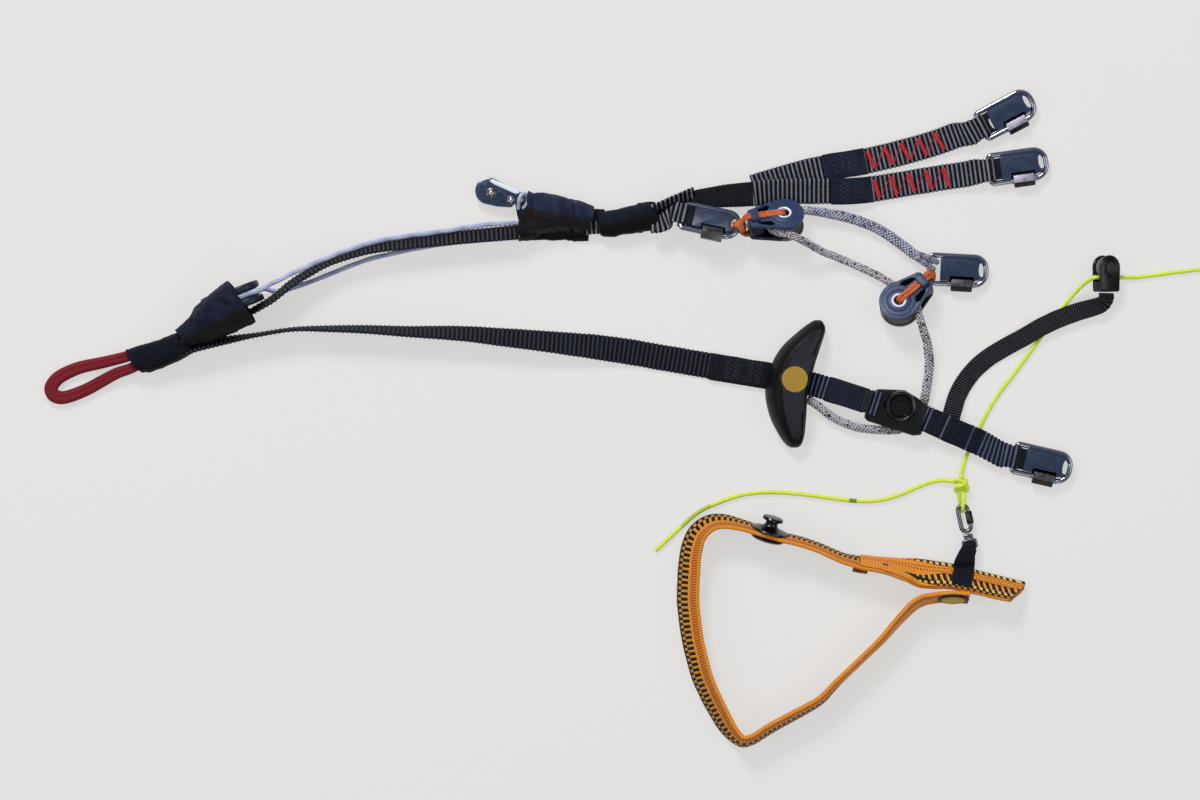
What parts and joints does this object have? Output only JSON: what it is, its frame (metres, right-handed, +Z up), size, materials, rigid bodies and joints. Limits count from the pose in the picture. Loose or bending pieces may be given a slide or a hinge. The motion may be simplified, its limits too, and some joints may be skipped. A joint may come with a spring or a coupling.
{
  "type": "paraglider riser set",
  "caption": "Riser straps of a paraglider lying flat, with hang loop, speed and trim pulleys, line maillons, trim handle, brake line and webbing brake toggle.",
  "frame": {"origin": "middle of the set's bounding box at the surface it lies on, the free brake line and its tail left out", "axes": "+X from the hang loop to the line maillons, +Y across the set from the brake toggle to the A strap, +Z up from the surface it lies on"},
  "size_m": [0.6475, 0.3551, 0.0264],
  "materials": {
    "webbing_black": "woven black polyester webbing",
    "cloth_navy": "woven navy nylon cloth",
    "cord_red": "dark red braided cord",
    "cord_white": "white braided line",
    "cord_grey": "grey braided rope with dark flecks",
    "cord_orange": "orange braided cord",
    "cord_yellow": "yellow-green braided line",
    "webbing_orange": "orange and black patterned webbing",
    "plastic_blue": "moulded blue-grey nylon",
    "plastic_grey": "moulded grey acetal",
    "plastic_black": "glossy black nylon",
    "badge_yellow": "plain yellow rubber badge",
    "steel": "polished stainless steel"
  },
  "bodies": {
    "riser_set": {"main_strap": "webbing_black", "c_strap": "webbing_black", "a_strap": "webbing_black", "a2_strap": "webbing_black", "b_stub": "webbing_black", "upper_stub": "webbing_black", "middle_stub": "webbing_black", "riser_joint": "webbing_black", "sleeve_strap": "webbing_black", "c_strap_overlay": "webbing_black", "c_middle_strap": "webbing_black", "c_strap_end": "webbing_black", "brake_strap": "webbing_black", "speed_pulley_tab": "webbing_black", "speed_hook_strap": "webbing_black", "toggle_tab": "webbing_black", "hang_loop_cover": "cloth_navy", "speed_pouch": "cloth_navy", "upper_sleeve": "cloth_navy", "riser_band": "cloth_navy", "hang_loop": "cord_red", "speed_line": "cord_white", "control_line": "cord_grey", "control_line_eye": "cord_grey", "pulley1_lashing": "cord_orange", "pulley2_lashing": "cord_orange", "brake_line": "cord_yellow", "brake_line_end": "cord_yellow", "brake_knot": "cord_yellow", "brake_tail": "cord_yellow", "knot_loop": "cord_yellow", "toggle_webbing": "webbing_orange", "a_maillon_insert": "plastic_blue", "a2_maillon_insert": "plastic_blue", "b_maillon_insert": "plastic_blue", "bc_maillon_insert": "plastic_blue", "c_maillon_insert": "plastic_blue", "pulley1_frame": "plastic_blue", "pulley2_frame": "plastic_blue", "speed_pulley_frame": "plastic_blue", "c_handle": "plastic_black", "toggle_socket": "plastic_black", "toggle_stud": "plastic_black", "toggle_stud_back": "plastic_black", "brake_pulley_frame": "plastic_black", "toggle_badge": "badge_yellow", "a_maillon_link": "steel", "a2_maillon_link": "steel", "b_maillon_link": "steel", "bc_maillon_link": "steel", "c_maillon_link": "steel", "speed_hook": "steel", "link_wire": "steel", "link_nut": "steel", "swivel_barrel": "steel", "swivel_eye": "steel"},
    "speed_wheel": {"speed_pulley_sheave": "plastic_grey"},
    "pulley1_wheel": {"pulley1_sheave": "plastic_grey"},
    "pulley2_wheel": {"pulley2_sheave": "plastic_grey"},
    "brake_wheel": {"brake_pulley_sheave": "plastic_grey"}
  },
  "joints": [
    {"name": "speed_wheel_turn", "type": "hinge", "parent": "riser_set", "child": "speed_wheel", "pos_m": [-0.182, 0.065, 0.013], "axis": [-0.3746, 0.9272, 0], "continuous": true},
    {"name": "pulley1_wheel_turn", "type": "hinge", "parent": "riser_set", "child": "pulley1_wheel", "pos_m": [0.1092, 0.1062, 0.0113], "axis": [0, 0.6691, 0.7431], "continuous": true},
    {"name": "pulley2_wheel_turn", "type": "hinge", "parent": "riser_set", "child": "pulley2_wheel", "pos_m": [0.1715, 0.0608, 0.0106], "axis": [-0.1011, 0.3774, 0.9205], "continuous": true},
    {"name": "brake_wheel_turn", "type": "hinge", "parent": "riser_set", "child": "brake_wheel", "pos_m": [0.283, 0.0807, 0.0072], "axis": [0.5446, 0, 0.8387], "continuous": true}
  ]
}
